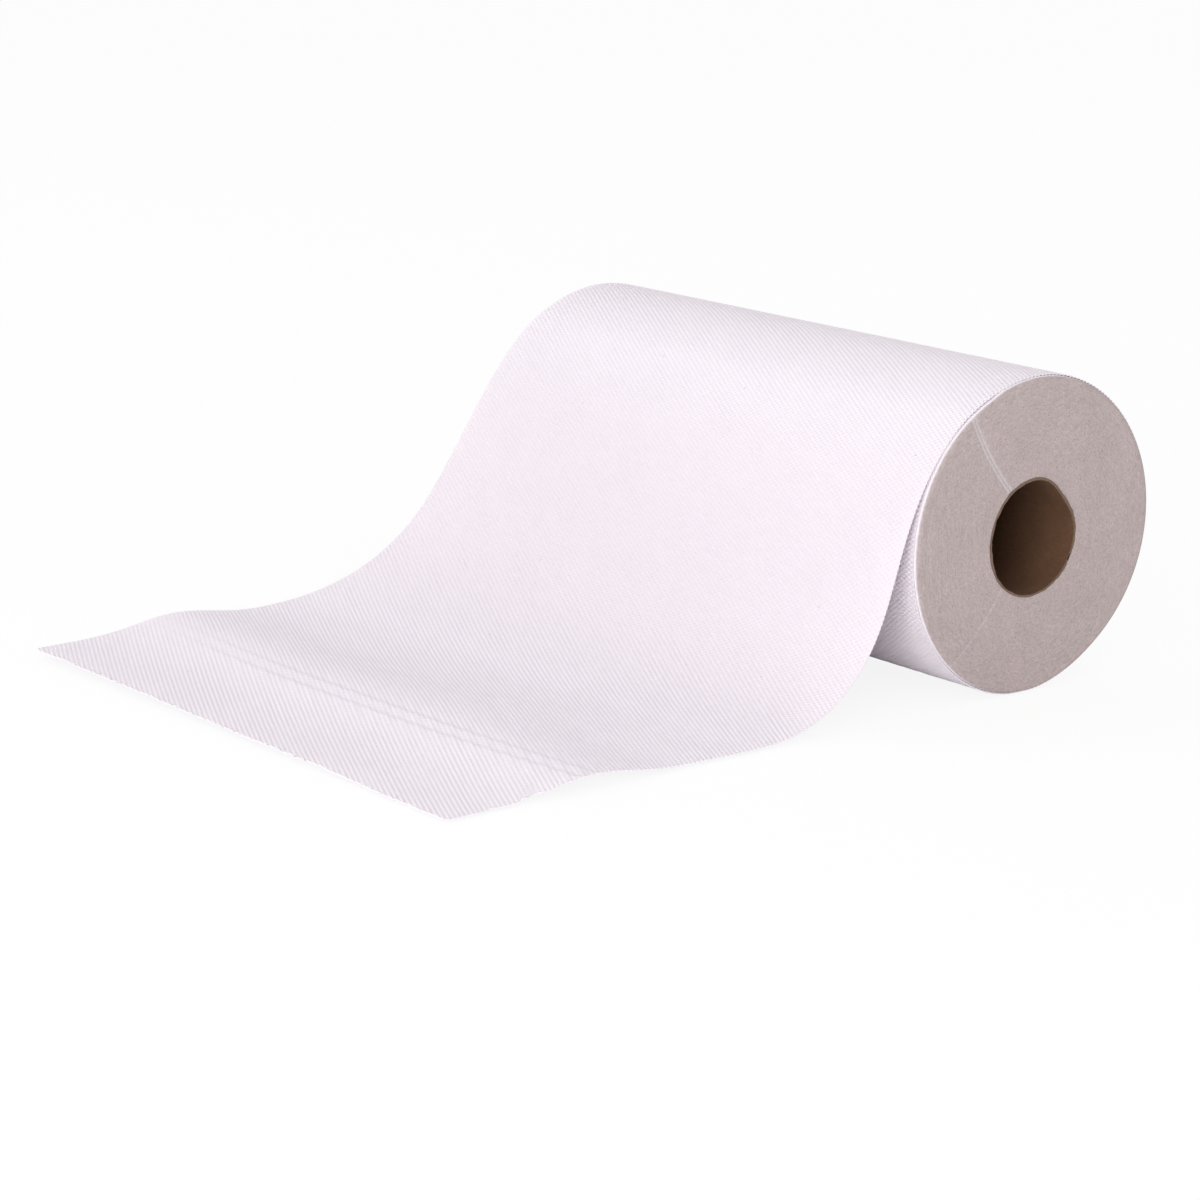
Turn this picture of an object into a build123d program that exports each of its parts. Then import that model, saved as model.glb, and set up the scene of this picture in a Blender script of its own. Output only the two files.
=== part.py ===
"""Exam table paper roll: one embossed paper web wound on a cardboard core, with its tail let out.

Millimetres. +X runs along the roll's axis, the tail runs out towards -Y, and +Z is up.
The origin is on the table, at the middle of the flat spot that the roll rests on.
"""

import math
import os

from build123d import *

# Roll
paper_width = 250.0
roll_diameter = 118.5
flat_spot_width = 16.0

# Paper web
web_thickness = 0.3
nip_gap = 0.3  # air between the last two turns, where the tail parts from the roll
web_steps = 16  # even steps along a section of the tail, which keep its thickness even

# Core
core_diameter = 44.0
core_wall = 1.2
glue_gap = 0.05  # around the core, under the first turn

# Turns that show as a spiral line on both ends
shown_turns = 2
turn_line_width = 0.5
turn_line_depth = 0.3

# Torn end of the tail
tear_pitch = 6.25
tear_notch = 2.0  # side of the square notch, which stands on its corner

# Fall of the tail. It parts from the roll at leave_angle, and its two edges fall differently until they
# land. From there on the web lies over the table, with its right edge lower than its left one.
# A hanging point is (degrees above the axis, distance off the roll).
# A falling or lying point is (distance in front of the roll, height of the underside above the table).
leave_angle = 52.0
left_hanging = [(20.0, 3.8), (0.0, 14.9)]
left_falling = [(38.3, 28.9), (80.6, 8.1)]
right_hanging = [(15.0, 2.1), (0.0, 6.0)]
right_falling = [(19.0, 26.1), (43.5, 5.4), (76.0, 0.6)]
left_lying = [(112.0, 5.6), (152.0, 9.8), (172.0, 6.8), (205.0, 5.4)]
right_nearer = 5.0
right_lower = 5.2

# Sizes that follow from those above
roll_radius = roll_diameter / 2
turn_growth = web_thickness + nip_gap
inner_radius = roll_radius - turn_growth
axis_height = math.sqrt(inner_radius**2 - (flat_spot_width / 2) ** 2)
roll_axis = Vector(0, axis_height)
hole_radius = core_diameter / 2 + glue_gap
leave_direction = 180 - leave_angle
leave_ray = Vector(1, 0).rotate(Axis.Z, leave_direction)
leave_point = roll_axis + leave_ray * roll_radius
off_roll = leave_ray.rotate(Axis.Z, 90)
along_table = Vector(-1, 0)
across_tail = Vector(paper_width, right_nearer, -right_lower)
left_end = Plane.YZ.offset(-paper_width / 2)
right_end = Plane.YZ.offset(paper_width / 2)


def off_the_roll(hanging):
    """Points around the roll, from their directions and their distances off it."""
    points = []
    for degrees, clear in hanging:
        ray = Vector(-1, 0).rotate(Axis.Z, -degrees)
        points.append(roll_axis + ray * (roll_radius + clear))
    return points


def above_the_table(lying):
    """Points on the web's upper side, from their distances in front of the roll and their heights."""
    return [Vector(-roll_radius - in_front, height + web_thickness) for in_front, height in lying]


def web_section(end, points, first_direction):
    """Section of the tail at one end of the roll, with its upper side through the points."""
    both_ends = {"tangents": [first_direction, along_table], "tangent_scalars": [1, 1]}
    with BuildSketch(end) as section:
        with BuildLine():
            fall = Spline(*points, **both_ends, mode=Mode.PRIVATE)
            top_edge = []
            under_edge = []
            for step in range(web_steps + 1):
                share = step / web_steps
                downwards = (fall % share).rotate(Axis.Z, 90)
                top_edge.append(fall @ share)
                under_edge.append(fall @ share + downwards * web_thickness)
            top = Spline(*top_edge, **both_ends)
            under = Spline(*under_edge, **both_ends)
            Line(top @ 0, under @ 0)
            Line(top @ 1, under @ 1)
        make_face()
    return section.sketch


lying_edge = above_the_table(left_lying)
left_fall = [leave_point, *off_the_roll(left_hanging), *above_the_table(left_falling), lying_edge[0]]
right_fall = [leave_point, *off_the_roll(right_hanging), *above_the_table(right_falling)]
right_fall.append(lying_edge[0] + Vector(right_nearer, -right_lower))

os.makedirs("parts", exist_ok=True)

# Paper web: wound turns and tail
with BuildPart() as paper_roll:
    # Wound turns. The outermost one is two half-turns, whose radius grows by one turn in all
    with BuildSketch(left_end):
        with BuildLine():
            flat_half_angle = math.degrees(math.asin(flat_spot_width / 2 / inner_radius))
            flat_front = 270 - flat_half_angle
            flat_back = 270 + flat_half_angle
            half_turn = leave_direction + 180
            front = CenterArc(roll_axis, inner_radius, leave_direction, flat_front - leave_direction)
            back = CenterArc(roll_axis, inner_radius, flat_back, half_turn - flat_back)
            Line(front @ 1, back @ 0)
            over_centre = roll_axis + leave_ray * (turn_growth / 2)
            over = CenterArc(over_centre, inner_radius + turn_growth / 2, half_turn, 180)
            Line(over @ 1, front @ 0)
        make_face()
    extrude(amount=paper_width)

    # Tail: lofted from edge to edge where it falls, and drawn straight across where it lies
    left_section = web_section(left_end, left_fall, off_roll)
    right_section = web_section(right_end, right_fall, off_roll)
    loft([left_section, right_section], ruled=True)
    extrude(web_section(left_end, lying_edge, along_table), amount=across_tail.length, dir=across_tail)

    # Hole for the core
    with BuildSketch(left_end):
        with Locations(roll_axis):
            Circle(hole_radius)
    extrude(amount=paper_width, mode=Mode.SUBTRACT)

    # Spiral line of the turns, as half-turns about two centres
    turn_pitch = (inner_radius - hole_radius) / (shown_turns + 1)
    first_radius = hole_radius + turn_pitch
    for end, inwards in ((left_end, turn_line_depth), (right_end, -turn_line_depth)):
        with BuildSketch(end):
            with BuildLine():
                for half in range(2 * shown_turns - 1):
                    side = 1 if half % 2 else -1
                    centre = roll_axis + leave_ray * (side * turn_pitch / 4)
                    radius = first_radius + half * turn_pitch / 2 - turn_pitch / 4
                    start = leave_direction + 180 * half
                    inner = CenterArc(centre, radius - turn_line_width / 2, start, 180)
                    outer = CenterArc(centre, radius + turn_line_width / 2, start, 180)
                    if half == 0:
                        Line(inner @ 0, outer @ 0)
                Line(inner @ 1, outer @ 1)
            make_face()
        extrude(amount=inwards, mode=Mode.SUBTRACT)

    # Torn end: a row of notches left by the perforation
    left_corner = Vector(-paper_width / 2, lying_edge[-1].X)
    right_corner = left_corner + Vector(across_tail.X, across_tail.Y)
    tear_line = Plane(origin=(left_corner + right_corner) / 2, x_dir=right_corner - left_corner)
    tear_count = int(paper_width / tear_pitch)
    with BuildSketch(tear_line):
        with GridLocations(tear_pitch, 0, tear_count, 1):
            Rectangle(tear_notch, tear_notch, rotation=45)
    extrude(amount=axis_height, mode=Mode.SUBTRACT)

paper_roll.part.label = "paper_roll"
export_step(paper_roll.part, "parts/paper_roll.step")

# Core tube, cut flush with the paper
with BuildPart() as core_tube:
    with BuildSketch(left_end):
        with Locations(roll_axis):
            Circle(core_diameter / 2)
            Circle(core_diameter / 2 - core_wall, mode=Mode.SUBTRACT)
    extrude(amount=paper_width)

core_tube.part.label = "core_tube"
export_step(core_tube.part, "parts/core_tube.step")
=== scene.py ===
# %% [markdown]
# # Exam table paper roll
# This lesson dresses a CAD model of a paper roll so that it looks like the real thing: a web of embossed
# paper wound on a cardboard core, with its torn tail let out over the table. The CAD solids hold the sizes,
# and everything here is worked out from them, in metres, in the same frame: +X along the roll's axis, the
# tail towards -Y, +Z up.

# %% Load the frame
import math

import bpy
import numpy as np
from mathutils import Matrix, Vector


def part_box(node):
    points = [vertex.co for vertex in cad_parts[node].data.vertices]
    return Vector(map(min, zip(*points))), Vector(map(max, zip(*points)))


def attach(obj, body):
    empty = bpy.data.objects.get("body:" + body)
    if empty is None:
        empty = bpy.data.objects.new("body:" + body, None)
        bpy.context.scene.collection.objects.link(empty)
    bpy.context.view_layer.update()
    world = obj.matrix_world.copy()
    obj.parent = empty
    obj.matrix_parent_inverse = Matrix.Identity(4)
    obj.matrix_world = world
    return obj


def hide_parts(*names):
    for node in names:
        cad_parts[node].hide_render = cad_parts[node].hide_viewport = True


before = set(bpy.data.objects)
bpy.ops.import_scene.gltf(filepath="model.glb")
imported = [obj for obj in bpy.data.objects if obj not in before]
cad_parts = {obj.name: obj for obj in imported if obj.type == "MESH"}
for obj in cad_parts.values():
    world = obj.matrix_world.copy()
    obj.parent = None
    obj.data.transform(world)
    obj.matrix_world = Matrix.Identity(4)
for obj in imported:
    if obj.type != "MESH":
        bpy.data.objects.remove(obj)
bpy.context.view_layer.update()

print("CAD nodes:", sorted(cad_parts))

# %% [markdown]
# ## Sizes
# The two CAD nodes give the axis, the core's radius and the width. Their boxes don't say where the tail
# parts from the roll, how thick the web is or how much a turn adds to the radius, so these three values are
# the CAD's own, written again.

# %% Sizes from the frame
MM = 0.001
core_low, core_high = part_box("core_tube")
roll_low, roll_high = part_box("paper_roll")
axis_height = (core_low.z + core_high.z) / 2
core_radius = (core_high.z - core_low.z) / 2
half_width = roll_high.x
leave_angle = math.radians(128)  # from +Y over the top, where the tail parts from the roll
web_thickness = 0.3 * MM
turn_growth = 0.6 * MM  # the web and the air under it
touching = 0.01 * MM  # points closer than this are in one plane
print(f"axis {axis_height / MM:.1f} mm up, core radius {core_radius / MM:.1f} mm")

# %% [markdown]
# ## Helpers
# Operators act on whatever is selected, so every step starts with nothing selected. Sculpted shapes are
# vertex moves: all the vertices are read into one array, moved by a formula, and written back.

# %% Helpers for selecting and moving vertices


def fresh_start():
    """Deselect every object, so that the next operator acts on the new piece alone."""
    bpy.ops.object.select_all(action="DESELECT")


def name_piece(name):
    """Name the object that an operator has just made, and its mesh."""
    piece = bpy.context.object
    piece.name = name
    piece.data.name = name
    return piece


def read_points(piece):
    """A piece's vertices as an array with one row for each."""
    points = np.empty(len(piece.data.vertices) * 3)
    piece.data.vertices.foreach_get("co", points)
    return points.reshape(-1, 3)


def write_points(piece, points):
    """Put a piece's vertices at these places."""
    piece.data.vertices.foreach_set("co", np.ascontiguousarray(points).ravel())
    piece.data.update()


def round_axis(points):
    """Angle round the roll's axis, from +Y over the top, and distance from it, for each point."""
    angle = np.arctan2(points[:, 2] - axis_height, points[:, 1])
    radius = np.hypot(points[:, 1], points[:, 2] - axis_height)
    return angle, radius


def select_in_edit(piece, chosen, domain):
    """Go to edit mode with these vertices, edges or faces selected and nothing else."""
    parts = {"VERT": piece.data.vertices, "EDGE": piece.data.edges, "FACE": piece.data.polygons}[domain]
    bpy.ops.object.mode_set(mode="EDIT")
    bpy.ops.mesh.select_mode(type=domain)
    bpy.ops.mesh.select_all(action="DESELECT")
    bpy.ops.object.mode_set(mode="OBJECT")
    parts.foreach_set("select", np.ascontiguousarray(chosen, dtype=bool))
    bpy.ops.object.mode_set(mode="EDIT")
    bpy.ops.mesh.select_mode(type=domain)


def soft_noise(u, v, cell, seed):
    """Smooth random values from -1 to 1 at places in metres, with a new value in each cell."""
    size = 512
    lattice = np.random.default_rng(seed).uniform(-1, 1, (size, size))
    column = np.floor(u / cell).astype(int)
    row = np.floor(v / cell).astype(int)
    a = u / cell - column
    b = v / cell - row
    a = a * a * (3 - 2 * a)
    b = b * b * (3 - 2 * b)
    rows = []
    for step in (0, 1):
        left = lattice[column % size, (row + step) % size]
        right = lattice[(column + 1) % size, (row + step) % size]
        rows.append(left * (1 - a) + right * a)
    return rows[0] * (1 - b) + rows[1] * b


def hump(distance, width):
    """A smooth bump: 1 where the distance is nought, and close to nought beyond the width."""
    return np.exp(-((distance / width) ** 2))


# %% [markdown]
# ## The tail's fall
# The CAD tail falls differently along its two edges. Rays dropped from above onto the solid find both
# edges. A mesh of flat facets would show as bands in the light, so the points found are smoothed along the
# edge before the web follows them.

# %% Read the tail's two edges from the solid
ray_step = 0.5 * MM
edge_inset = 0.5 * MM
smooth_length = 4.0 * MM
smooth_reach = 3  # in smooth lengths
left_extra = 6.3 * MM  # how far the torn end reaches past the solid
right_extra = 4.8 * MM
spare_end = 11 * MM  # more than either
left_droop = 2.3 * MM
right_droop = 0.0
droop_length = 260 * MM


def tail_edge(x, extra, droop):
    """Points (y, z) along one edge, each a step further from the leave line, and the edge's length.

    The torn end reaches extra past the solid, and it droops there.
    """
    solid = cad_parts["paper_roll"]
    found = []
    for y in np.arange(0.0, roll_low.y, -ray_step):
        hit, place, _, _ = solid.ray_cast(Vector((x, y, 1.0)), Vector((0, 0, -1)))
        if hit:
            found.append((place.y, place.z))
    found = np.array(found)
    walked = np.concatenate([[0], np.cumsum(np.linalg.norm(np.diff(found, axis=0), axis=1))])
    even = np.arange(0, walked[-1], ray_step)
    points = np.stack([np.interp(even, walked, found[:, i]) for i in (0, 1)], axis=1)
    reach = int(smooth_reach * smooth_length / ray_step)
    weights = hump(np.arange(-reach, reach + 1) * ray_step, smooth_length * math.sqrt(2))
    weights /= weights.sum()
    before = 2 * points[0] - points[reach:0:-1]
    after = 2 * points[-1] - points[-2:-reach - 2:-1]
    padded = np.concatenate([before, points, after])
    points = np.stack([np.convolve(padded[:, i], weights, "valid") for i in (0, 1)], axis=1)
    past_leave = np.arctan2(points[:, 1] - axis_height, points[:, 0]) > leave_angle
    points = points[np.argmax(past_leave):]
    length = (len(points) - 1) * ray_step + extra
    spare = np.arange(1, int(spare_end / ray_step) + 1)[:, None] * (points[-1] - points[-2])
    points = np.concatenate([points, points[-1] + spare])
    to_end = np.clip(1 - (length - np.arange(len(points)) * ray_step) / droop_length, 0, 1)
    points[:, 1] -= droop * to_end**2 * (3 - 2 * to_end)
    return points, length


left_points, left_length = tail_edge(-half_width + edge_inset, left_extra, left_droop)
right_points, right_length = tail_edge(half_width - edge_inset, right_extra, right_droop)
leave_radius = math.hypot(left_points[0, 0], left_points[0, 1] - axis_height)
print(f"tail {left_length / MM:.0f} mm long at the left, {right_length / MM:.0f} mm at the right")

# %% [markdown]
# ## The web, flat
# The last turn and the tail are one sheet of paper, so they are one mesh. It starts flat, as a grid: across
# the web in a few wide columns, along it in fine rows. Embossed ribs cross the web on a slant. A square grid
# would need tiny squares to hold them, so the rows are slanted to run along the ribs instead, four rows to a
# rib, and the columns can stay wide. What runs past the two ends is cut off by bisecting, and one more cut
# marks off the strip that is torn later.

# %% Lay out the flat web
rib_pitch = 1.842 * MM  # along the web
rib_slope = 0.556  # how far along the web a rib runs for each step across it
rows_per_rib = 4
spare_slant = 1.01  # the grid reaches a little further than the slant needs
web_columns = 28
web_slide = 1.5 * MM  # the last turn has slid this far in from the photographed end
tail_slide = 2.5 * MM  # and the torn end of the tail this far back again
tooth_room = 1.6 * MM  # left at the torn end for its teeth
tooth_root = 1.0 * MM  # strip along the torn end that follows its teeth
start_overlap = math.radians(14)  # the web's first end is hidden under its last turn
wound_angle = 2 * math.pi + start_overlap
mean_radius = leave_radius - turn_growth / 2
web_start = -wound_angle * mean_radius
web_left = -half_width - web_slide
web_right = half_width - web_slide


def across(x):
    """Share of the way across the web: 0 at its left edge and 1 at its right one."""
    return np.clip((x + half_width) / (2 * half_width), 0, 1)


def tail_length(x):
    """Length of the tail at a place across the web."""
    return left_length + (right_length - left_length) * across(x)


row_step = rib_pitch / rows_per_rib
slant = abs(rib_slope) * half_width * spare_slant
first_row = web_start - slant
last_row = max(left_length, right_length) + slant
web_rows = math.ceil((last_row - first_row) / row_step)

fresh_start()
bpy.ops.mesh.primitive_grid_add(x_subdivisions=web_columns, y_subdivisions=web_rows, size=1)
paper_web = name_piece("paper_web")
grid = read_points(paper_web)
flat_x = web_left + (grid[:, 0] + 0.5) * (web_right - web_left)
flat_s = first_row + (0.5 - grid[:, 1]) * web_rows * row_step + rib_slope * flat_x
write_points(paper_web, np.stack([flat_x, flat_s, np.zeros_like(flat_s)], axis=1))

tear_slope = (right_length - left_length) / (2 * half_width)
tear_middle = (left_length + right_length) / 2 - tooth_room
for cut_at, outside, clear in (
    (tear_middle, (-tear_slope, 1, 0), True),
    (tear_middle - tooth_root, (-tear_slope, 1, 0), False),
    (web_start, (0, -1, 0), True),
):
    bpy.ops.object.mode_set(mode="EDIT")
    bpy.ops.mesh.select_all(action="SELECT")
    bpy.ops.mesh.bisect(plane_co=(0, cut_at, 0), plane_no=outside, clear_outer=clear)
    bpy.ops.object.mode_set(mode="OBJECT")

# %% [markdown]
# ## The torn end
# The tail was torn off at a line of perforations, which leaves a row of short fuzzy teeth. A strip along the
# torn end is subdivided, and its points are pushed out by uneven amounts, most at the edge. Near the right
# corner a few nibbles are missing from the side.

# %% Tear the end
tear_cuts = 2
tooth_pitch = 1.9 * MM
tooth_least = 0.3  # as a share of tooth_room, like the four below
tooth_rise = 0.5
fine_fuzz = 0.4
coarse_fuzz = 0.25
tooth_most = 1.5
fine_cell = 0.7 * MM
coarse_cell = 7 * MM
shortest_tooth = 0.1 * MM
nibbles = ((36.3, 3.0, 1.6), (31.8, 1.6, 1.1), (18.8, 2.2, 0.8))  # mm before the end, half length, depth

grid = read_points(paper_web)
past_root = grid[:, 1] - (tear_middle - tooth_root + tear_slope * grid[:, 0])
select_in_edit(paper_web, past_root > -touching, "VERT")
bpy.ops.mesh.subdivide(number_cuts=tear_cuts)
bpy.ops.object.mode_set(mode="OBJECT")

grid = read_points(paper_web)
past_root = grid[:, 1] - (tear_middle - tooth_root + tear_slope * grid[:, 0])
torn_share = np.clip(past_root / tooth_root, 0, 1)
tooth = np.abs((grid[:, 0] / tooth_pitch) % 1 - 0.5) * 2
tooth = tooth_room * (tooth_least + tooth_rise * tooth)
fuzz = soft_noise(grid[:, 0], grid[:, 0], fine_cell, 11) * fine_fuzz
fuzz += soft_noise(grid[:, 0], grid[:, 0], coarse_cell, 12) * coarse_fuzz
grid[:, 1] += torn_share * np.clip(tooth + tooth_room * fuzz, shortest_tooth, tooth_room * tooth_most)
at_right = grid[:, 0] > web_right - touching
for before_end, half_length, depth in nibbles:
    along = grid[:, 1] - (tail_length(grid[:, 0]) - before_end * MM)
    grid[:, 0] -= np.where(at_right, depth * MM * hump(along, half_length * MM), 0)
write_points(paper_web, grid)
print(f"torn end has {np.count_nonzero(torn_share > 0)} points")

# %% [markdown]
# ## A UV map that is the flat sheet
# The flat mesh is its own pattern, so each corner's UV is simply its place on the flat sheet, in metres. The
# paper's finish can then follow the web round the roll and down the tail.

# %% Store the flat sheet as UV
flat = read_points(paper_web)
uv_layer = paper_web.data.uv_layers.active
uv_layer.name = "flat_sheet"
corner_points = np.empty(len(paper_web.data.loops), dtype=int)
paper_web.data.loops.foreach_get("vertex_index", corner_points)
uv_layer.uv.foreach_set("vector", np.ascontiguousarray(flat[corner_points, :2]).ravel())
print(f"UV map for {len(corner_points)} corners")

# %% [markdown]
# ## Winding the web
# Now the flat sheet is wound. Before the leave line a point's place along the web is an angle round the
# roll, and its radius grows by one turn. After it, the point lies between the tail's two edges. The ribs,
# the crease across the tail, a filling for the dip before it and a slight waviness are added along the
# surface's normal.

# %% Wind the web round the roll and let out its tail
rib_height = 0.19 * MM
rib_stand = 0.16 * MM  # lifts the ribs clear of the turns below
rib_start = 12 * MM  # over which the ribs grow, past the hidden overlap
rib_mean = 0.85  # some ribs are embossed more deeply than others
rib_spread = 0.3
rib_cell = 6 * MM
crease_left = 53 * MM  # before the torn end
crease_right = 60 * MM
crease_bow = 5 * MM  # towards the torn end, half way across
crease_half_gap = 3.4 * MM
crease_lines = ((crease_half_gap, 0.9 * MM, 1), (-crease_half_gap, 1.0 * MM, 0.8))  # place, width, share
crease_fade = 0.35  # share of the web's width over which the crease grows, from the left edge
crease_height = 0.4 * MM
crease_press = 0.65  # how much the ribs are flattened along the crease
crease_press_width = 5.5 * MM
dip_fill = 2 * MM  # the dip before the crease is shallower than the CAD's
dip_fill_back = 38 * MM  # before the crease
dip_fill_length = 24 * MM
dip_fill_middle = 0.62  # share of the way across
dip_fill_width = 0.25
wave_start = 40 * MM
wave_cell = 48 * MM
wave_height = 0.45 * MM
leave_blend = 25 * MM  # over which the tail takes up the step at the leave line
slope_step = 0.5 * MM
table_clear = web_thickness + 0.1 * MM
roll_clear = 0.02 * MM  # under the flat spot
roll_dents = ((12, 2.2, 44), (66, 0.2, 28), (115, -0.7, 20), (-58, -1.3, 28))  # degrees, mm, degrees wide


def angle_between(angle, other):
    """Difference of two angles, from minus half a turn to half a turn."""
    return (angle - other + math.pi) % (2 * math.pi) - math.pi


def out_of_round(angle):
    """How far the soft roll stands out of round, from being handled and from its own weight."""
    bulge = 0
    for middle, height, width in roll_dents:
        bulge = bulge + height * MM * hump(angle_between(angle, math.radians(middle)), math.radians(width))
    return bulge


def between_edges(x, s):
    """Place (y, z) on the tail, from its place on the flat sheet."""
    share = np.maximum(s, 0) / tail_length(x)
    steps = np.arange(max(len(left_points), len(right_points))) * ray_step
    place = 0
    for points, length, weight in (
        (left_points, left_length, 1 - across(x)),
        (right_points, right_length, across(x)),
    ):
        reach = steps[: len(points)]
        edge = np.stack([np.interp(share * length, reach, points[:, i]) for i in (0, 1)], axis=1)
        place = place + edge * weight[:, None]
    return place


def round_roll(s):
    """Place (y, z) on the last turn, from the distance before the leave line, which is negative."""
    angle = leave_angle + np.minimum(s, 0) / mean_radius
    grown = np.clip((angle - leave_angle + math.pi) / math.pi, 0, 1)
    radius = leave_radius - turn_growth * (1 - grown)
    radius = radius + out_of_round(angle)
    return np.stack([radius * np.cos(angle), axis_height + radius * np.sin(angle)], axis=1)


def web_place(x, s):
    """Place (y, z) on the web's upper side."""
    leave_step = round_roll(np.zeros(1)) - left_points[:1]
    tail = between_edges(x, s) + leave_step * np.exp(-np.maximum(s, 0) / leave_blend)[:, None]
    return np.where((s < 0)[:, None], round_roll(s), tail)


x, s = flat[:, 0], flat[:, 1]
place = web_place(x, s)
ahead = web_place(x, s + slope_step) - web_place(x, s - slope_step)
ahead /= np.linalg.norm(ahead, axis=1)[:, None]
outwards = np.stack([ahead[:, 1], -ahead[:, 0]], axis=1)

crease_place = crease_left + (crease_right - crease_left) * across(x)
crease_place -= crease_bow * (1 - (x / half_width) ** 2)
from_crease = s - (tail_length(x) - crease_place)
rib_wave = np.cos(2 * math.pi * (s - rib_slope * x) / rib_pitch)
rib_strength = rib_mean + rib_spread * soft_noise(x, s, rib_cell, 3)
rib_strength *= 1 - crease_press * hump(from_crease, crease_press_width)
crease = 0
for line_place, line_width, line_share in crease_lines:
    crease = crease + line_share * hump(from_crease - line_place, line_width)
crease *= np.minimum(across(x) / crease_fade, 1)
flatter = hump(across(x) - dip_fill_middle, dip_fill_width)
flatter *= hump(from_crease + dip_fill_back, dip_fill_length)
on_tail = np.clip(s / wave_start, 0, 1)
waviness = on_tail * soft_noise(x, s, wave_cell, 5) * wave_height
uncovered = np.clip((s - web_start - start_overlap * mean_radius) / rib_start, 0, 1)
ribs = (rib_height * rib_wave * rib_strength + rib_stand) * uncovered
lift = ribs + crease_height * crease + dip_fill * flatter + waviness
place = place + outwards * lift[:, None]
lowest = np.where(s > 0, table_clear, roll_clear)
place[:, 1] = np.maximum(place[:, 1], lowest)
slid_back = tail_slide * np.clip(s / left_length, 0, 1)
write_points(paper_web, np.stack([x + slid_back, place[:, 0], place[:, 1]], axis=1))
print("web wound")

# %% [markdown]
# ## Thickness
# Paper this soft is about a third of a millimetre thick once it is embossed. Solidify gives the sheet its
# underside and the thin edge that shows along the tail.

# %% Give the web its thickness
web_smooth = math.radians(50)  # sharper edges than this stay sharp

fresh_start()
paper_web.select_set(True)
bpy.context.view_layer.objects.active = paper_web
bpy.ops.object.modifier_add(type="SOLIDIFY")
thickness = paper_web.modifiers[-1]
thickness.thickness = web_thickness
thickness.offset = -1
bpy.ops.object.modifier_apply(modifier=thickness.name)
bpy.ops.object.shade_smooth_by_angle(angle=web_smooth)
print(f"web has {len(paper_web.data.polygons)} faces")

# %% [markdown]
# ## The wound turns
# Under the last turn are some hundred and fifty more. They can't come apart, so they are one piece: a
# cylinder whose ends are inset ring by ring, down to the hole for the core. The rings carry the felted look
# of a stack of soft edges: uneven turns, a rounded rim and two creases pressed into the photographed end.

# %% Model the wound turns
round_points = 480
end_rings = 46
core_rings = 72  # the hole and the core have the same ones, so that they stay clear of each other
ring_crowding = 1.8
rim_round = 1.3 * MM
rim_steps = 3
end_facing = 0.999  # how squarely a face on an end looks along the axis
turns_clear = 0.12 * MM
core_clear = 0.02 * MM
turns_radius = leave_radius - turn_growth - web_thickness - turns_clear
hole_radius = core_radius + core_clear

fresh_start()
bpy.ops.mesh.primitive_cylinder_add(
    vertices=round_points,
    radius=turns_radius,
    depth=2 * half_width,
    location=(0, 0, axis_height),
    rotation=(0, math.pi / 2, 0),
)
wound_turns = name_piece("wound_turns")
bpy.ops.object.transform_apply(location=True, rotation=True, scale=True)


def faces_on_ends(piece):
    """Which of a piece's faces look along the roll's axis."""
    normals = np.empty(len(piece.data.polygons) * 3)
    piece.data.polygons.foreach_get("normal", normals)
    return np.abs(normals.reshape(-1, 3)[:, 0]) > end_facing


def cut_lengthwise(piece, within, rings):
    """Cut a tube into rings that crowd towards its two ends, but only where it is this close to the axis."""
    points = read_points(piece)
    close = round_axis(points)[1] < within
    ends = np.empty(len(piece.data.edges) * 2, dtype=int)
    piece.data.edges.foreach_get("vertices", ends)
    ends = ends.reshape(-1, 2)
    lengthwise = np.abs(points[ends[:, 0], 0] - points[ends[:, 1], 0]) > half_width
    select_in_edit(piece, lengthwise & close[ends].all(axis=1), "EDGE")
    bpy.ops.mesh.subdivide(number_cuts=rings)
    bpy.ops.object.mode_set(mode="OBJECT")
    points = read_points(piece)
    close = round_axis(points)[1] < within
    share = np.abs(points[:, 0]) / half_width
    crowded = np.sign(points[:, 0]) * half_width * (1 - (1 - np.minimum(share, 1)) ** ring_crowding)
    points[:, 0] = np.where(close, crowded, points[:, 0])
    write_points(piece, points)


select_in_edit(wound_turns, faces_on_ends(wound_turns), "FACE")
bpy.ops.mesh.bevel(offset=rim_round, segments=rim_steps, affect="EDGES")
bpy.ops.object.mode_set(mode="OBJECT")
select_in_edit(wound_turns, faces_on_ends(wound_turns), "FACE")
ring_step = (turns_radius - rim_round - hole_radius) / end_rings
for ring in range(end_rings):
    bpy.ops.mesh.inset(thickness=ring_step)
bpy.ops.mesh.delete(type="ONLY_FACE")
bpy.ops.object.mode_set(mode="OBJECT")
points = read_points(wound_turns)
at_hole = round_axis(points)[1] < hole_radius + ring_step / 2
select_in_edit(wound_turns, at_hole, "VERT")
bpy.ops.mesh.bridge_edge_loops()
bpy.ops.object.mode_set(mode="OBJECT")
cut_lengthwise(wound_turns, hole_radius + ring_step / 2, core_rings)
print(f"wound turns have {len(wound_turns.data.polygons)} faces")

# %% [markdown]
# The relief comes next, as vertex moves. The core was dented on its way here, and the paper round it gave
# way with it, so one function says how far the dent goes in, for both pieces.

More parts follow.
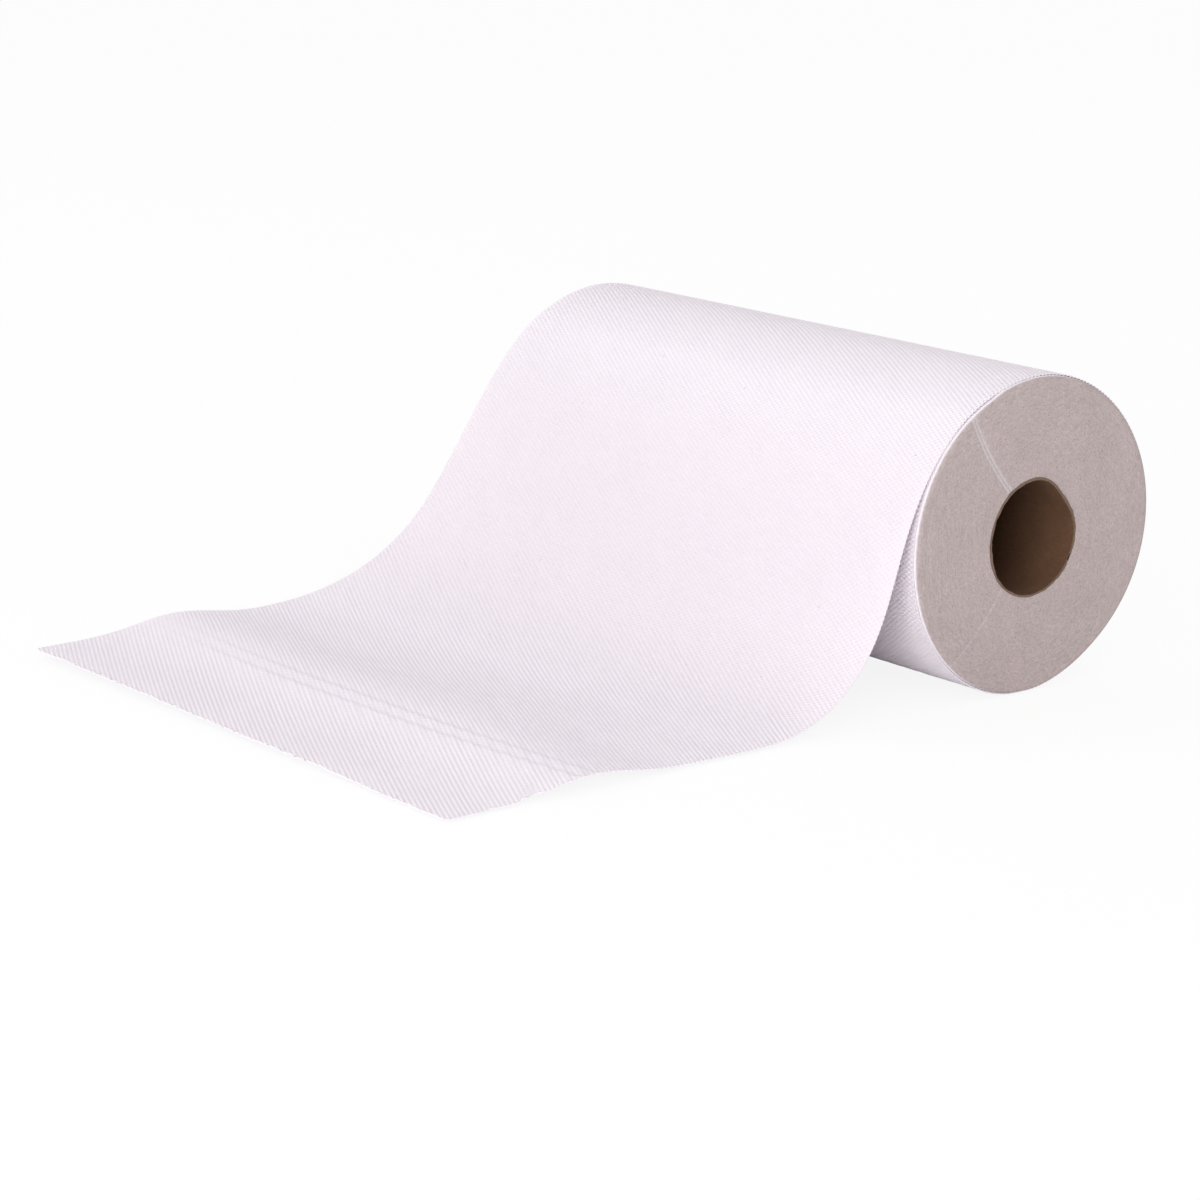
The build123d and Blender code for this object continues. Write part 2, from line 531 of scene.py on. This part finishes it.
# %% Sculpt the ends of the wound turns
dent_angle = math.radians(41)
dent_width = math.radians(26)
dent_depth = 1.9 * MM
dent_length = 14 * MM
dent_spread = 5 * MM  # into the paper
bulge_angle = math.radians(-136)
bulge_width = math.radians(40)
bulge_height = 0.5 * MM
pressed_lines = ((math.radians(124.5), 0.7 * MM, 1.0), (math.radians(-133), 0.0, 0.4))  # half gap, strength
press_middle = 40 * MM  # from the axis
press_reach = 20 * MM
press_bend = 1.8 * MM
press_width = 0.5 * MM
press_depth = 0.22 * MM
turn_shown = 0.8 * MM
turn_step = 0.05  # mm, like the two below
felt_step = 0.06
face_wave = 0.25
felt_cell = 2.2 * MM
face_cell = 22 * MM
rim_calm = 8  # the relief dies away this fast towards the rim
rim_left = 0.3  # and this share of it is left there
start_room = math.radians(6)  # over which the turns make room for the web's first end
turns_table_clear = web_thickness + 0.25 * MM
turns_smooth = math.radians(40)


def core_dent(angle, x):
    """How far the core's wall is pushed in, round it and along it."""
    dent = dent_depth * hump(angle_between(angle, dent_angle), dent_width)
    bulge = bulge_height * hump(angle_between(angle, bulge_angle), bulge_width)
    return (dent - bulge) * hump(np.minimum(x - half_width, 0), dent_length)


points = read_points(wound_turns)
x = points[:, 0]
angle, radius = round_axis(points)
outer_share = np.clip((radius - hole_radius) / (turns_radius - hole_radius), 0, 1)
side = np.sign(x)
on_end = np.abs(x) > half_width - touching
turn = radius / turn_shown + angle / (2 * math.pi)
uneven = turn_step * soft_noise(turn, turn * 0, 1.0, 21)
uneven += felt_step * soft_noise(angle * radius, radius, felt_cell, 22)
uneven += face_wave * soft_noise(np.cos(angle) * radius + 1, np.sin(angle) * radius + 1, face_cell, 23)
move = uneven * MM * np.minimum(1, (1 - outer_share) * rim_calm + rim_left)
bend = press_bend * np.maximum(1 - ((radius - press_middle) / press_reach) ** 2, 0)
for line_angle, half_gap, strength in pressed_lines:
    beside = radius * np.sin(angle_between(angle, line_angle)) - bend
    ahead_of = np.cos(angle_between(angle, line_angle)) > 0
    pressed = hump(beside - half_gap, press_width) + hump(beside + half_gap, press_width)
    move += np.where(ahead_of & (side > 0), -press_depth * strength * pressed, 0)
points[:, 0] += np.where(on_end, side * move, 0)
before_leave = (leave_angle - angle) % (2 * math.pi)
room_for_start = np.clip((before_leave - start_overlap) / start_room, 0, 1)
growth = turn_growth * np.clip(1 - before_leave / math.pi, 0, 1) * room_for_start
radius = radius + (out_of_round(angle) + growth) * outer_share**2
radius -= core_dent(angle, x) * np.exp(-(radius - hole_radius) / dent_spread)
points[:, 1] = radius * np.cos(angle)
points[:, 2] = np.maximum(axis_height + radius * np.sin(angle), turns_table_clear)
write_points(wound_turns, points)
bpy.ops.object.shade_smooth_by_angle(angle=turns_smooth)
print(f"ends sculpted, {np.count_nonzero(on_end)} points")

# %% [markdown]
# ## The cardboard core
# The core is wound from strips of brown board. It starts as an open cylinder, cut into rings that crowd
# towards its two lips, where it is worn. Solidify makes the wall, and the worn lip, the dent and the slight
# step along the spiral seam are vertex moves.

# %% Model the core
core_points = 192
core_wall = 0.85 * MM
lip_stand = 0.15 * MM
seam_pitch = 82 * MM

fresh_start()
bpy.ops.mesh.primitive_cylinder_add(
    vertices=core_points,
    radius=core_radius - core_clear,
    depth=2 * half_width,
    end_fill_type="NOTHING",
    location=(0, 0, axis_height),
    rotation=(0, math.pi / 2, 0),
)
cardboard_core = name_piece("cardboard_core")
bpy.ops.object.transform_apply(location=True, rotation=True, scale=True)
cut_lengthwise(cardboard_core, 2 * core_radius, core_rings)
bpy.ops.object.modifier_add(type="SOLIDIFY")
wall = cardboard_core.modifiers[-1]
wall.thickness = core_wall
wall.offset = -1
bpy.ops.object.modifier_apply(modifier=wall.name)
print(f"core has {len(cardboard_core.data.polygons)} faces")

# %% Wear the core's lips
lip_zone = 0.05 * MM
fine_wear = 0.25  # mm, like the two below
coarse_wear = 0.2
notch_depth = 0.9
fine_wear_cell = 1.6 * MM
coarse_wear_cell = 6 * MM
notch_angle = math.radians(-27)
notch_width = math.radians(5)
seam_step = 0.12 * MM
board_step = 0.08 * MM
board_cell = 3 * MM
core_smooth = math.radians(45)

points = read_points(cardboard_core)
x = points[:, 0]
angle, radius = round_axis(points)
at_lip = np.abs(x) > half_width - lip_zone
ragged = fine_wear * soft_noise(angle * radius, radius, fine_wear_cell, 31)
ragged += coarse_wear * soft_noise(angle * radius, radius, coarse_wear_cell, 32)
notch = np.where(x > 0, hump(angle_between(angle, notch_angle), notch_width) * notch_depth, 0)
points[:, 0] += np.where(at_lip, np.sign(x) * (lip_stand + ragged * MM) - notch * MM, 0)
seam = angle_between(angle, 2 * math.pi * x / seam_pitch)
inside = radius < core_radius - core_wall / 2
radius = radius - core_dent(angle, x)
radius += np.where(inside, seam_step * np.clip(seam, -1, 1), 0)
radius += np.where(inside, board_step * soft_noise(angle * radius, x + 1, board_cell, 33), 0)
points[:, 1] = radius * np.cos(angle)
points[:, 2] = axis_height + radius * np.sin(angle)
write_points(cardboard_core, points)
bpy.ops.object.shade_smooth_by_angle(angle=core_smooth)
print("core worn")

# %% [markdown]
# ## Finishes
# A finish is a small graph of shader nodes. Wiring them by hand takes many lines, so one class wraps a
# socket: sums on wires add Math nodes, and one method adds any other node.

# %% A wire for shader maths


class Wire:
    """One socket of a material's graph, which can be used in sums."""

    def __init__(self, tree, socket=None):
        self.tree = tree
        self.socket = socket

    def add(self, kind, settings=None, sockets=None, out=0):
        """Add a node: its type, its settings, what goes into its sockets, and the output to go on from."""
        node = self.tree.nodes.new(kind)
        for name, value in (settings or {}).items():
            setattr(node, name, value)
        for name, value in (sockets or {}).items():
            if isinstance(value, Wire):
                self.tree.links.new(value.socket, node.inputs[name])
            else:
                node.inputs[name].default_value = value
        return Wire(self.tree, node.outputs[out])

    def maths(self, operation, *values):
        """Add a Math node."""
        return self.add("ShaderNodeMath", {"operation": operation}, dict(enumerate(values)))

    def __add__(self, other):
        return self.maths("ADD", self, other)

    def __sub__(self, other):
        return self.maths("SUBTRACT", self, other)

    def __rsub__(self, other):
        return self.maths("SUBTRACT", other, self)

    def __mul__(self, other):
        return self.maths("MULTIPLY", self, other)

    def __truediv__(self, other):
        return self.maths("DIVIDE", self, other)

    def __lt__(self, other):
        return self.maths("LESS_THAN", self, other)

    def __gt__(self, other):
        return self.maths("GREATER_THAN", self, other)

    def absolute(self):
        """The wire without its sign."""
        return self.maths("ABSOLUTE", self)

    def at_least_nought(self):
        """The wire with nothing below 0."""
        return self.maths("MAXIMUM", self, 0.0)

    def at_most_one(self):
        """The wire with nothing above 1."""
        return self.maths("MINIMUM", self, 1.0)

    def mix(self, plain, changed):
        """A colour that goes from plain to changed as this wire goes from 0 to 1."""
        return self.add("ShaderNodeMix", {"data_type": "RGBA"}, {0: self, 6: plain, 7: changed}, out=2)

    def axes(self):
        """The three numbers of a vector."""
        node = self.add("ShaderNodeSeparateXYZ", {}, {0: self}).socket.node
        return [Wire(self.tree, output) for output in node.outputs]


def new_finish(name):
    """A new material with an empty graph."""
    finish = bpy.data.materials.new(name)
    finish.use_nodes = True
    finish.node_tree.nodes.clear()
    return finish, Wire(finish.node_tree)


def noise(wire, place, scale, detail=3.0, roughness=0.6):
    """Fractal noise from 0 to 1."""
    sockets = {"Vector": place, "Scale": scale, "Detail": detail, "Roughness": roughness}
    return wire.add("ShaderNodeTexNoise", {"noise_dimensions": "3D"}, sockets)


def flecks(place, scale, size, commonness):
    """Spots of about this size, in cells, in this share of the cells: 1 in a spot and 0 elsewhere."""
    spot = place.add("ShaderNodeTexVoronoi", {"feature": "F1"}, {"Vector": place, "Scale": scale})
    draw = Wire(place.tree, spot.socket.node.outputs["Color"]).axes()[0]
    return (spot < size) * (draw > 1 - commonness)


def show(tree, shader, kind="ShaderNodeOutputMaterial"):
    """Send a shader to its output."""
    output = tree.nodes.new(kind)
    tree.links.new(shader.socket, output.inputs["Surface"])


def principled(wire, sockets, bump, strength, distance):
    """A Principled shader with a Bump node."""
    normal = wire.add("ShaderNodeBump", {}, {"Strength": strength, "Distance": distance, "Height": bump})
    return wire.add("ShaderNodeBsdfPrincipled", {}, {**sockets, "Normal": normal})


# %% [markdown]
# ## Embossed paper
# The paper is matt and nearly white, with a breath of lilac. Its colour also holds painted shade: it is
# painted a little darker down between the ribs and along the two crease lines across the tail. Close to, it
# shows soft fibres and a few dark flecks. The tail is a single thin layer, so light comes through it where
# it hangs free, and a little where it lies on something white.

# %% Finish the paper
paper_white = (0.950, 0.895, 0.950, 1)
paper_shade = (0.750, 0.672, 0.742, 1)
paper_through = (0.985, 0.938, 0.935, 1)
through_lying = 0.12
through_hanging = 0.30
hang_middle = 75 * MM  # along the tail
cross_pitch = 1.842 * MM  # shallower ribs that cross the others
cross_slope = -0.77
fleck_grey = (0.42, 0.36, 0.34, 1)
fleck_strength = 0.75
fleck_scale = 150.0
fleck_size = 0.045  # in cells
fleck_share = 0.14  # of the cells
cloud_scale = 22.0
cloud_detail = 4.0
fibre_scale = 1500.0
# Painted shade: darker in the valleys of both kinds of rib and along the crease; clouds and fibres are real
# tone.
valley_painted_shade = 0.14  # how much each of these shades the paper
crossing_painted_shade = 0.14  # where both kinds of rib are low
cross_valley_painted_shade = 0.06
cloud_shade = 0.13
fibre_shade = 0.13
crease_painted_shade = 0.4
crease_shade_width = 1.4 * MM
cross_depth = 0.16 * MM
fibre_depth = 0.2  # as a share of cross_depth

finish, wire = new_finish("embossed_paper")
flat_sheet = wire.add("ShaderNodeUVMap", {"uv_map": "flat_sheet"})
along_x, along_s, _ = flat_sheet.axes()
rib_phase = (along_s - along_x * rib_slope) * (2 * math.pi / rib_pitch)
valley = 0.5 - wire.maths("COSINE", rib_phase) * 0.5
cross_phase = (along_s - along_x * cross_slope) * (2 * math.pi / cross_pitch)
cross = 0.5 - wire.maths("COSINE", cross_phase) * 0.5
clouds = noise(wire, flat_sheet, cloud_scale, cloud_detail)
fibres = noise(wire, flat_sheet, fibre_scale)
fleck = flecks(flat_sheet, fleck_scale, fleck_size, fleck_share)
share_across = along_x / (2 * half_width) + 0.5
bowed = 1 - (along_x / half_width) * (along_x / half_width)
crease_place = share_across * (crease_right - crease_left) + crease_left - bowed * crease_bow
from_crease = along_s - (share_across * (right_length - left_length) + left_length) + crease_place
# The two crease lines are painted darker: painted shade along the fold.
off_line = (from_crease.absolute() - crease_half_gap).absolute()
crease_shade_mask = (1 - off_line / crease_shade_width).at_least_nought()
crease_shade_mask = crease_shade_mask * (share_across / crease_fade).at_most_one()
# Painted shade in the rib valleys and along the crease lines, with the paper's own uneven tone from clouds
# and fibres.
shade = valley * (cross * crossing_painted_shade + valley_painted_shade) + cross * cross_valley_painted_shade
shade = shade + clouds * cloud_shade + fibres * fibre_shade + crease_shade_mask * crease_painted_shade
paper_colour = shade.mix(paper_white, paper_shade)
paper_colour = (fleck * fleck_strength).mix(paper_colour, fleck_grey)
matt = {"Base Color": paper_colour, "Roughness": 0.93, "Specular IOR Level": 0.2}
front = principled(wire, matt, fibres * fibre_depth - cross, 1.0, cross_depth)
through = wire.add("ShaderNodeBsdfTranslucent", {}, {"Color": paper_through})
off_middle = along_s / hang_middle - 1
hanging = (1 - off_middle * off_middle).at_least_nought()
see_through = hanging * (through_hanging - through_lying) + through_lying
both = wire.add("ShaderNodeMixShader", {}, {0: see_through, 1: front, 2: through})
show(finish.node_tree, both)
paper_web.data.materials.append(finish)
print("paper finished:", len(wire.tree.nodes), "nodes")

# %% [markdown]
# ## Edges of the turns
# Seen from the end, light sinks in between the turns, so the same paper looks greyer and warmer. Its grain
# runs round the roll. The two creases are pressed smooth and shine a little paler.

# %% Finish the ends of the turns
edge_white = (0.620, 0.524, 0.518, 1)
edge_shade = (0.270, 0.222, 0.218, 1)
press_lilac = (0.760, 0.730, 0.790, 1)
press_strength = 0.35
press_line_width = 0.75 * MM
edge_fleck_strength = 0.6
edge_fleck_scale = 190.0
edge_fleck_size = 0.07  # in cells
edge_fleck_share = 0.2  # of the cells
felt_scale = 900.0
felt_detail = 4.0
felt_roughness = 0.65
felt_across = 2.2  # the felt is squeezed across the turns
felt_round = 0.03  # and drawn out round them
grain_scale = 1400.0
grain_detail = 3.0
grain_roughness = 0.7
blotch_scale = 55.0
blotch_detail = 4.0
felt_shade = 0.9  # how much each of these shades the edges
grain_shade = 0.9
blotch_shade = 0.25
middle_shade = 0.52
felt_depth = 0.4 * MM
felt_strength = 0.7

finish, wire = new_finish("turn_edges")
spot_on_end = wire.add("ShaderNodeTexCoord", {}, {}, out=3)
end_x, end_y, end_z = spot_on_end.axes()
end_z = end_z - axis_height
end_radius = wire.maths("SQRT", end_y * end_y + end_z * end_z)
end_angle = wire.maths("ARCTAN2", end_z, end_y)
wound_place = {0: end_radius * felt_across, 1: end_angle * felt_round, 2: end_x}
wound = wire.add("ShaderNodeCombineXYZ", {}, wound_place)
felt = noise(wire, wound, felt_scale, felt_detail, felt_roughness)
grain = noise(wire, spot_on_end, grain_scale, grain_detail, grain_roughness)
blotches = noise(wire, spot_on_end, blotch_scale, blotch_detail)
pressed = 0.0
off_middle = (end_radius - press_middle) / press_reach
bend = (1 - off_middle * off_middle).at_least_nought() * press_bend
for line_angle, half_gap, strength in pressed_lines:
    beside = end_z * math.cos(line_angle) - end_y * math.sin(line_angle) - bend
    ahead_of = (end_y * math.cos(line_angle) + end_z * math.sin(line_angle)) > 0
    gap = (beside.absolute() - half_gap).absolute()
    line = (1 - gap / press_line_width).at_least_nought()
    pressed = line * ahead_of * (end_x > 0) * strength + pressed
shade = (felt - 0.5) * felt_shade + (grain - 0.5) * grain_shade + (blotches - 0.5) * blotch_shade
shade = (shade + middle_shade).at_least_nought().at_most_one()
edge_colour = shade.mix(edge_white, edge_shade)
edge_colour = (pressed * press_strength).mix(edge_colour, press_lilac)
fleck = flecks(spot_on_end, edge_fleck_scale, edge_fleck_size, edge_fleck_share)
edge_colour = (fleck * edge_fleck_strength).mix(edge_colour, fleck_grey)
round_rim = (half_width - rim_round / 3 - end_x.absolute()) / (rim_round * 2 / 3)
round_rim = round_rim.at_least_nought().at_most_one()
edge_colour = round_rim.mix(edge_colour, paper_white)
matt = {"Base Color": edge_colour, "Roughness": 0.96, "Specular IOR Level": 0.15}
show(finish.node_tree, principled(wire, matt, felt * 0.5 + grain * 0.5, felt_strength, felt_depth))
wound_turns.data.materials.append(finish)
print("turn edges finished:", len(wire.tree.nodes), "nodes")

# %% [markdown]
# ## Cardboard
# The board is brown and fibrous, paler where it was cut, with the dark line of the spiral seam inside.

# %% Finish the core
board_brown = (0.070, 0.031, 0.015, 1)
board_fibre = (0.190, 0.100, 0.056, 1)
lip_brown = (0.085, 0.055, 0.039, 1)
lip_pale = (0.250, 0.165, 0.120, 1)
seam_dark = (0.030, 0.014, 0.008, 1)
seam_strength = 0.7
seam_half_width = 0.008  # as a share of a turn
cut_zone = 0.4 * MM
board_depth = 0.15 * MM
board_strength = 0.35
board_drawn = 0.35  # the fibres are drawn out along the core
board_scale = 1300.0
board_detail = 4.0
board_roughness = 0.7
board_blotch_scale = 120.0
board_blotch_detail = 3.0
board_fibre_share = 0.7
board_blotch_share = 0.3
spiral_shift = 4.5  # whole turns that keep the count above nought, and the half that middles the seam

finish, wire = new_finish("core_board")
spot_on_core = wire.add("ShaderNodeTexCoord", {}, {}, out=3)
core_x, core_y, core_z = spot_on_core.axes()
core_z = core_z - axis_height
core_angle = wire.maths("ARCTAN2", core_z, core_y)
fibre_place = wire.add("ShaderNodeCombineXYZ", {}, {0: core_x * board_drawn, 1: core_y, 2: core_z})
board_fibres = noise(wire, fibre_place, board_scale, board_detail, board_roughness)
board_blotches = noise(wire, spot_on_core, board_blotch_scale, board_blotch_detail)
spiral = wire.maths("FRACT", core_angle / (2 * math.pi) - core_x / seam_pitch + spiral_shift)
seam_line = (spiral - 0.5).absolute() < seam_half_width
cut_edge = core_x.absolute() > half_width - cut_zone
shade = board_fibres * board_fibre_share + board_blotches * board_blotch_share
board_colour = shade.mix(board_brown, board_fibre)
board_colour = (seam_line * seam_strength).mix(board_colour, seam_dark)
board_colour = cut_edge.mix(board_colour, shade.mix(lip_brown, lip_pale))
matt = {"Base Color": board_colour, "Roughness": 0.88, "Specular IOR Level": 0.3}
show(finish.node_tree, principled(wire, matt, board_fibres, board_strength, board_depth))
cardboard_core.data.materials.append(finish)
print("core finished:", len(wire.tree.nodes), "nodes")

# %% [markdown]
# ## Joining the frame
# Each piece rides on the one body and stands for its CAD solid, which is hidden.

# %% Join the pieces to the frame
for piece, node, slot in (
    (paper_web, "paper_roll", "paper"),
    (wound_turns, "paper_roll", "paper"),
    (cardboard_core, "core_tube", "core_board"),
):
    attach(piece, "root")
    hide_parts(node)
print("pieces joined")

# %% [markdown]
# ## Floor
# The floor is a large plane. It is white to the camera, and it keeps a soft shadow.

# %% Make the floor
floor_drop = 0.3 * MM
floor_size = 12
floor_grey = (0.93, 0.93, 0.93, 1)
white_share = 0.88  # the rest takes the shadow

fresh_start()
bpy.ops.mesh.primitive_plane_add(size=floor_size, location=(0, 0, -floor_drop))
floor = name_piece("floor")
finish, wire = new_finish("studio_floor")
seen = wire.add("ShaderNodeLightPath", {}, {}, out=0)
ray = seen.socket.node.outputs
glossy = Wire(wire.tree, ray["Is Glossy Ray"])
passing = Wire(wire.tree, ray["Is Transmission Ray"])
scattered = Wire(wire.tree, ray["Is Diffuse Ray"])
direct = (seen + glossy + passing * (1 - scattered)).at_most_one()
white = wire.add("ShaderNodeEmission", {}, {"Color": (1, 1, 1, 1), "Strength": 1.0})
matt = wire.add("ShaderNodeBsdfDiffuse", {}, {"Color": floor_grey})
both = wire.add("ShaderNodeMixShader", {}, {0: direct * white_share, 1: matt, 2: white})
show(finish.node_tree, both)
floor.data.materials.append(finish)
print("floor made")

# %% [markdown]
# ## Light
# A soft sky lights everything evenly. A large, weak lamp in front and to the left models the ribs and the
# curve of the tail. A second one, low in front and to the right, grazes the end of the roll, reaches into
# the core and lights the front of the web.

# %% Light the scene
sky_level = 0.885
lamps = (  # name, place, size, watts
    ("key_lamp", (-1.05, -1.20, 0.65), 1.2, 4.4),
    ("fill_lamp", (0.80, -1.25, 0.22), 0.7, 11.0),
)
lit_place = Vector((0.0, -0.08, 0.05))

scene = bpy.context.scene
scene.view_settings.view_transform = "Standard"
world = bpy.data.worlds.new("studio")
scene.world = world
world.use_nodes = True
world.node_tree.nodes.clear()
wire = Wire(world.node_tree)
seen = wire.add("ShaderNodeLightPath", {}, {}, out=0)
level = seen * (1 - sky_level) + sky_level
sky = wire.add("ShaderNodeBackground", {}, {"Color": (1, 1, 1, 1), "Strength": level})
show(world.node_tree, sky, "ShaderNodeOutputWorld")

for name, place, size, power in lamps:
    fresh_start()
    bpy.ops.object.light_add(type="AREA", location=place)
    lamp = bpy.context.object
    lamp.name = name
    lamp.data.energy = power
    lamp.data.size = size
    lamp.rotation_mode = "QUATERNION"
    lamp.rotation_quaternion = (lit_place - Vector(place)).to_track_quat("-Z", "Y")
print("lit by the sky and", len(lamps), "lamps")

# %% [markdown]
# ## Camera
# The camera has a long lens and looks from the right front, a little above the roll.

# %% Place the camera
camera_place = Vector((0.9511, -0.8693, 0.3315))
camera_yaw = math.radians(-51.026)
camera_pitch = math.radians(-14.147)
camera_roll = math.radians(1.002)
sensor = 36.0
focal_share = 3376 / 1200  # focal length over picture width

forward = Vector((
    math.sin(camera_yaw) * math.cos(camera_pitch),
    math.cos(camera_yaw) * math.cos(camera_pitch),
    math.sin(camera_pitch),
))
level_right = Vector((math.cos(camera_yaw), -math.sin(camera_yaw), 0))
level_up = level_right.cross(forward)
camera_right = level_right * math.cos(camera_roll) + level_up * math.sin(camera_roll)
camera_up = level_up * math.cos(camera_roll) - level_right * math.sin(camera_roll)
camera_turn = Matrix((camera_right, camera_up, -forward)).transposed()

bpy.ops.object.camera_add(location=camera_place, rotation=camera_turn.to_euler())
camera = bpy.context.object
camera.name = "photo_camera"
camera.data.sensor_width = sensor
camera.data.lens = sensor * focal_share
camera.data.clip_start = 0.05
scene.camera = camera
print(f"camera with a {camera.data.lens:.1f} mm lens")
